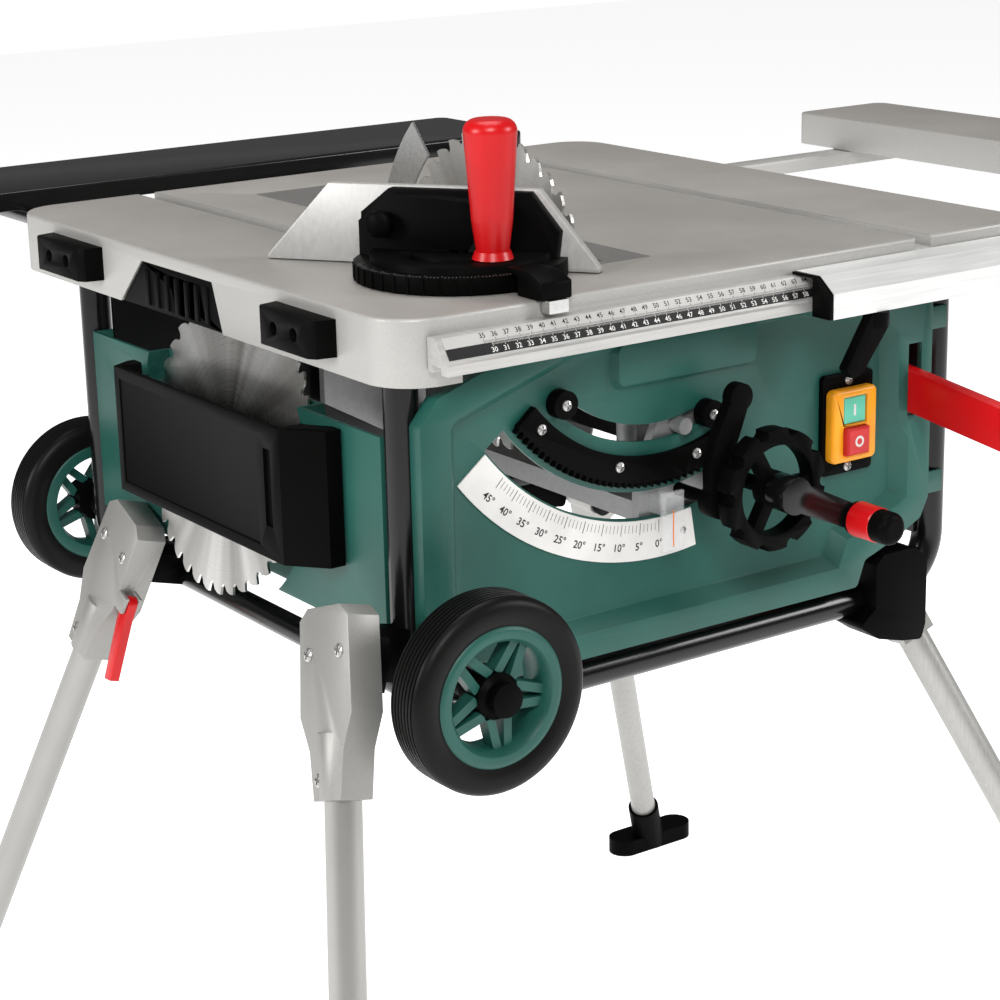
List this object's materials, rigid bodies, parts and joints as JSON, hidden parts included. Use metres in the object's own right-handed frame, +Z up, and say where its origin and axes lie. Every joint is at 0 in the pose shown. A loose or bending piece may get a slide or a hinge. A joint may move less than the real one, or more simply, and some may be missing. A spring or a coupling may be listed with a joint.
{
  "type": "portable table saw on folding stand",
  "caption": "Jobsite table saw with tilting blade, mitre gauge, sliding side table, rear support, folding legs and transport wheels.",
  "frame": {"origin": "on the table surface, in the plane of the upright blade, above the front hoop of the stand", "axes": "+X to the operator's right, +Y from the operator to the back, +Z up"},
  "size_m": [1.2219, 1.0699, 0.918],
  "materials": {
    "cast_table": "fine machined, dull",
    "insert_plate": "satin",
    "profile": "anodised satin",
    "black_tube": "satin powder coat",
    "green_panel": "fine grained",
    "black_plastic": "fine grained",
    "black_steel": "satin",
    "scale_white": "satin",
    "yellow_plastic": "semi-gloss",
    "green_button": "semi-gloss",
    "red_plastic": "semi-gloss",
    "steel": "bright",
    "screw_steel": "dark zinc",
    "grey_casting": "painted silver grey",
    "leg_tube": "satin anodised",
    "casting": "as cast",
    "motor_case": "painted",
    "rubber": "matte",
    "cover_sheet": "satin"
  },
  "bodies": {
    "frame": {"table_top": "cast_table", "table_insert": "insert_plate", "table_rails": "profile", "front_hoop": "black_tube", "rear_hoop": "black_tube", "side_tubes": "black_tube", "front_panel": "green_panel", "tilt_rack": "black_plastic", "tilt_scale": "scale_white", "switch_plate": "black_plastic", "switch_frame": "yellow_plastic", "panel_screws": "screw_steel", "left_panel": "green_panel", "spare_blade": "steel", "body_covers": "cover_sheet", "dust_port": "black_plastic", "rest_feet": "black_plastic", "skirt_hatch": "black_plastic", "corner_brackets": "black_steel"},
    "storage_box": {"storage_box": "black_plastic"},
    "on_button": {"on_button": "green_button"},
    "off_button": {"off_button": "red_plastic"},
    "tilt": {"tilt_frame": "casting", "tilt_pointer": "black_plastic"},
    "tilt_lever": {"tilt_clamp_lever": "black_plastic"},
    "handwheel": {"handwheel": "black_plastic"},
    "crank": {"crank": "black_steel"},
    "crank_knob": {"crank_knob": "black_plastic"},
    "lift_screw": {"lift_screw": "steel"},
    "lift": {"carriage": "casting", "motor": "motor_case", "riving_knife": "steel"},
    "blade": {"saw_blade": "steel", "arbor": "steel"},
    "gauge": {"gauge_bar": "steel", "gauge_pointer": "black_plastic"},
    "gauge_head": {"gauge_head": "black_plastic", "gauge_fence": "profile"},
    "gauge_handle": {"gauge_handle": "red_plastic"},
    "extension": {"extension_profile": "profile", "extension_cap": "black_plastic", "extension_table": "cast_table"},
    "extension_lever": {"extension_lever": "black_plastic"},
    "rear_extension": {"rear_extension": "black_steel"},
    "push_stick": {"push_stick": "red_plastic"},
    "front_wheel": {"front_tyre": "rubber", "front_rim": "green_panel"},
    "rear_wheel": {"rear_tyre": "rubber", "rear_rim": "green_panel"},
    "rear_left_lock": {"rear_left_lock": "red_plastic"},
    "front_left_leg": {"front_left_leg": "grey_casting", "front_left_foot": "black_plastic"},
    "rear_left_leg": {"rear_left_leg": "grey_casting", "rear_left_foot": "black_plastic"},
    "front_right_leg": {"front_right_leg": "leg_tube", "front_right_foot": "black_plastic"},
    "rear_right_leg": {"rear_right_leg": "leg_tube", "rear_right_foot": "black_plastic"}
  },
  "joints": [
    {"name": "tilt_angle", "type": "hinge", "parent": "frame", "child": "tilt", "pos_m": [0, 0, 0.014], "axis": [0, 1, 0], "range_deg": [0, 45]},
    {"name": "handwheel_turn", "type": "hinge", "parent": "tilt", "child": "handwheel", "pos_m": [0.06075, -0.04, -0.15756], "axis": [0, 1, 0], "range_deg": [0, 540]},
    {"name": "tilt_clamp", "type": "hinge", "parent": "tilt", "child": "tilt_lever", "pos_m": [0.02356, -0.04, -0.16496], "axis": [0, 1, 0], "range_deg": [-30, 45]},
    {"name": "blade_height", "type": "slide", "parent": "tilt", "child": "lift", "axis": [0, 0, 1], "range_m": [-0.087, 0]},
    {"name": "crank_turn", "type": "hinge", "parent": "tilt", "child": "crank", "pos_m": [0.06075, -0.04, -0.15756], "axis": [0, 1, 0], "range_deg": [-3600, 0]},
    {"name": "screw_turn", "type": "hinge", "parent": "tilt", "child": "lift_screw", "pos_m": [0.06075, 0.062, -0.12], "axis": [0, 0, 1], "range_deg": [0, 3600]},
    {"name": "knob_spin", "type": "hinge", "parent": "crank", "child": "crank_knob", "pos_m": [0.11875, -0.12, -0.18456], "axis": [0, 1, 0], "continuous": true},
    {"name": "blade_spin", "type": "hinge", "parent": "lift", "child": "blade", "pos_m": [0, 0.192, -0.043], "axis": [1, 0, 0], "continuous": true},
    {"name": "box_swing", "type": "hinge", "parent": "frame", "child": "storage_box", "pos_m": [-0.23, 0.366, -0.146], "axis": [0, 0, -1], "range_deg": [0, 80]},
    {"name": "on_press", "type": "slide", "parent": "frame", "child": "on_button", "axis": [0, 1, 0], "range_m": [0, 0.0025], "stiffness_N_per_m": 600},
    {"name": "off_press", "type": "slide", "parent": "frame", "child": "off_button", "axis": [0, 1, 0], "range_m": [0, 0.0025], "stiffness_N_per_m": 600},
    {"name": "gauge_slide", "type": "slide", "parent": "frame", "child": "gauge", "axis": [0, 1, 0], "range_m": [-0.02, 0.3]},
    {"name": "gauge_swivel", "type": "hinge", "parent": "gauge", "child": "gauge_head", "pos_m": [-0.105, 0.082, 0.006], "axis": [0, 0, 1], "range_deg": [-6, 114]},
    {"name": "gauge_clamp", "type": "hinge", "parent": "gauge", "child": "gauge_handle", "pos_m": [-0.105, 0.041, 0.04], "axis": [0, 0, 1], "range_deg": [-90, 90]},
    {"name": "extension_slide", "type": "slide", "parent": "frame", "child": "extension", "axis": [1, 0, 0], "range_m": [-0.27, 0]},
    {"name": "extension_clamp", "type": "hinge", "parent": "extension", "child": "extension_lever", "pos_m": [0.168, -0.066, -0.045], "axis": [0, 0, 1], "range_deg": [-40, 40]},
    {"name": "rear_support_slide", "type": "slide", "parent": "frame", "child": "rear_extension", "axis": [0, 1, 0], "range_m": [-0.084, 0]},
    {"name": "stick_pull", "type": "slide", "parent": "frame", "child": "push_stick", "axis": [0, -0.9929, -0.1191], "range_m": [0, 0.23]},
    {"name": "front_wheel_spin", "type": "hinge", "parent": "frame", "child": "front_wheel", "pos_m": [-0.213, -0.098, -0.244], "axis": [0, 1, 0], "continuous": true},
    {"name": "rear_wheel_spin", "type": "hinge", "parent": "frame", "child": "rear_wheel", "pos_m": [-0.213, 0.504, -0.244], "axis": [0, 1, 0], "continuous": true},
    {"name": "front_left_fold", "type": "hinge", "parent": "frame", "child": "front_left_leg", "pos_m": [-0.281, -0.019, -0.228], "axis": [0.9702, -0.0002, -0.2425], "range_deg": [0, 99.2]},
    {"name": "rear_left_fold", "type": "hinge", "parent": "frame", "child": "rear_left_leg", "pos_m": [-0.249, 0.368, -0.252], "axis": [-0.9634, -0.0053, 0.2679], "range_deg": [0, 97.6]},
    {"name": "rear_left_release", "type": "hinge", "parent": "rear_left_leg", "child": "rear_left_lock", "pos_m": [-0.25887, 0.3384, -0.28809], "axis": [-0.9634, -0.0053, 0.2679], "range_deg": [0, 20]},
    {"name": "front_right_fold", "type": "hinge", "parent": "frame", "child": "front_right_leg", "pos_m": [0.281, 0.027, -0.316], "axis": [0.2671, 0.939, -0.2165], "range_deg": [0, 110.1]},
    {"name": "rear_right_fold", "type": "hinge", "parent": "frame", "child": "rear_right_leg", "pos_m": [0.281, 0.443, -0.316], "axis": [-0.2671, 0.939, 0.2165], "range_deg": [0, 110.1]}
  ],
  "couplings": [
    {"joint": "handwheel_turn", "follows": "tilt_angle", "ratio": 12},
    {"joint": "crank_turn", "follows": "blade_height", "rad_per_m": 722},
    {"joint": "screw_turn", "follows": "blade_height", "rad_per_m": -722}
  ]
}
